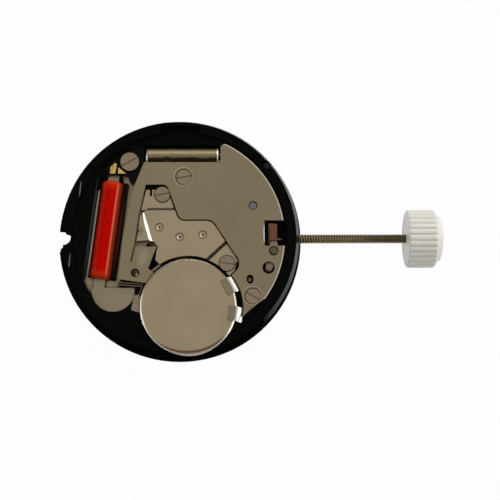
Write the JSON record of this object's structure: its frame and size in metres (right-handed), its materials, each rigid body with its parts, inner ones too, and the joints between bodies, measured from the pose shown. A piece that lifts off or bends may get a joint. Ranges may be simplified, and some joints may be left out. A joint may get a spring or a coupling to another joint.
{
  "type": "quartz watch movement",
  "caption": "Round quartz movement with motor coil, button cell, gear train, keyless works and a winding stem with a fluted crown.",
  "frame": {"origin": "on the hands' axis in the plane of the dial seat", "axes": "+Z from the dial towards the battery side, +X along the stem towards the crown, +Y towards the crystal"},
  "size_m": [0.0276, 0.0174, 0.0053],
  "materials": {
    "plate_plastic": "satin black moulded",
    "cover_steel": "satin warm grey",
    "bridge_steel": "satin warm grey",
    "screw_steel": "polished",
    "contact_steel": "satin",
    "wheel_brass": "fine turned",
    "pinion_steel": "polished",
    "magnet": "sintered",
    "motor_iron": "matt annealed",
    "copper_wire": "enamelled wire",
    "circuit_laminate": "lacquered laminate",
    "gold_pads": "gold plated",
    "chip_resin": "moulded resin",
    "crystal_steel": "polished can",
    "cell_steel": "nickel plated",
    "gasket": "moulded seal",
    "bronze": "dark bronze",
    "crown_plastic": "white moulded",
    "stem_steel": "turned"
  },
  "bodies": {
    "movement": {"main_plate": "plate_plastic", "guard_plate": "bridge_steel", "guard_screws": "screw_steel", "train_bridge": "bridge_steel", "bridge_screws": "screw_steel", "stator": "motor_iron", "coil_core": "motor_iron", "coil_winding": "copper_wire", "terminal_board": "circuit_laminate", "solder_pads": "gold_pads", "board_screw": "screw_steel", "circuit_board": "circuit_laminate", "chip": "chip_resin", "test_pad": "gold_pads", "crystal_can": "crystal_steel", "crystal_leads": "gold_pads", "circuit_cover": "cover_steel", "cover_screws": "screw_steel", "battery_clamp": "cover_steel", "negative_contact": "contact_steel", "side_contact": "contact_steel", "cell_can": "cell_steel", "cell_gasket": "gasket", "cell_lid": "cell_steel", "setting_lever_spring": "contact_steel", "lever_studs": "stem_steel", "reset_contact": "bronze"},
    "rotor": {"rotor_pinion": "pinion_steel", "rotor_magnet": "magnet"},
    "fifth": {"fifth_pinion": "pinion_steel", "fifth_wheel": "wheel_brass"},
    "seconds": {"seconds_pinion": "pinion_steel", "seconds_wheel": "wheel_brass"},
    "third": {"third_pinion": "pinion_steel", "third_wheel": "wheel_brass"},
    "minutes": {"centre_tube": "pinion_steel", "centre_wheel": "wheel_brass", "cannon_pinion": "wheel_brass"},
    "minute_train": {"minute_wheel": "wheel_brass", "minute_pinion": "wheel_brass"},
    "hours": {"hour_wheel": "wheel_brass"},
    "setting": {"setting_wheel": "wheel_brass"},
    "clutch": {"clutch_wheel": "stem_steel"},
    "winding_stem": {"stem": "stem_steel", "crown": "crown_plastic"},
    "setting_arm": {"setting_lever": "contact_steel"},
    "yoke_arm": {"yoke": "contact_steel"},
    "reset_arm": {"reset_lever": "contact_steel"}
  },
  "joints": [
    {"name": "seconds_spin", "type": "hinge", "parent": "movement", "child": "seconds", "pos_m": [0, 0, 0], "axis": [0, 0, 1], "continuous": true},
    {"name": "fifth_spin", "type": "hinge", "parent": "movement", "child": "fifth", "pos_m": [-0.00145, 0.0007, 0], "axis": [0, 0, 1], "continuous": true},
    {"name": "rotor_spin", "type": "hinge", "parent": "movement", "child": "rotor", "pos_m": [-0.00295, 0.00045, 0], "axis": [0, 0, 1], "continuous": true},
    {"name": "third_spin", "type": "hinge", "parent": "movement", "child": "third", "pos_m": [0.00163, 0.00015, 0], "axis": [0, 0, 1], "continuous": true},
    {"name": "minutes_spin", "type": "hinge", "parent": "movement", "child": "minutes", "pos_m": [0, 0, 0], "axis": [0, 0, 1], "continuous": true},
    {"name": "minute_train_spin", "type": "hinge", "parent": "movement", "child": "minute_train", "pos_m": [0.00138, 0.0008, 0], "axis": [0, 0, 1], "continuous": true},
    {"name": "hours_spin", "type": "hinge", "parent": "movement", "child": "hours", "pos_m": [0, 0, 0], "axis": [0, 0, 1], "continuous": true},
    {"name": "setting_spin", "type": "hinge", "parent": "movement", "child": "setting", "pos_m": [0.00299, 0, 0], "axis": [0, 0, 1], "continuous": true},
    {"name": "clutch_spin", "type": "hinge", "parent": "movement", "child": "clutch", "pos_m": [0.00445, 0, 0.0013], "axis": [1, 0, 0], "continuous": true},
    {"name": "stem_pull", "type": "slide", "parent": "clutch", "child": "winding_stem", "axis": [1, 0, 0], "range_m": [0, 0.0005]},
    {"name": "setting_lever_turn", "type": "hinge", "parent": "movement", "child": "setting_arm", "pos_m": [0.00669, -0.00101, 0.0021], "axis": [0, 0, 1], "range_deg": [-30, 0]},
    {"name": "yoke_turn", "type": "hinge", "parent": "movement", "child": "yoke_arm", "pos_m": [0.0051, -0.0021, 0.0021], "axis": [0, 0, 1], "range_deg": [0, 7.2]},
    {"name": "reset_lever_turn", "type": "hinge", "parent": "movement", "child": "reset_arm", "pos_m": [0.00498, -0.00307, 0.00207], "axis": [0, 0, 1], "range_deg": [0, 2.5]}
  ],
  "couplings": [
    {"joint": "seconds_spin", "follows": "minutes_spin", "ratio": 60},
    {"joint": "fifth_spin", "follows": "minutes_spin", "ratio": -300},
    {"joint": "rotor_spin", "follows": "minutes_spin", "ratio": 1800},
    {"joint": "third_spin", "follows": "minutes_spin", "ratio": -7.5},
    {"joint": "minute_train_spin", "follows": "minutes_spin", "ratio": -0.33333},
    {"joint": "hours_spin", "follows": "minutes_spin", "ratio": 0.083333},
    {"joint": "setting_spin", "follows": "minutes_spin", "ratio": 0.66667},
    {"joint": "setting_lever_turn", "follows": "stem_pull", "rad_per_m": -1040},
    {"joint": "yoke_turn", "follows": "stem_pull", "rad_per_m": 244},
    {"joint": "reset_lever_turn", "follows": "stem_pull", "rad_per_m": 83}
  ]
}
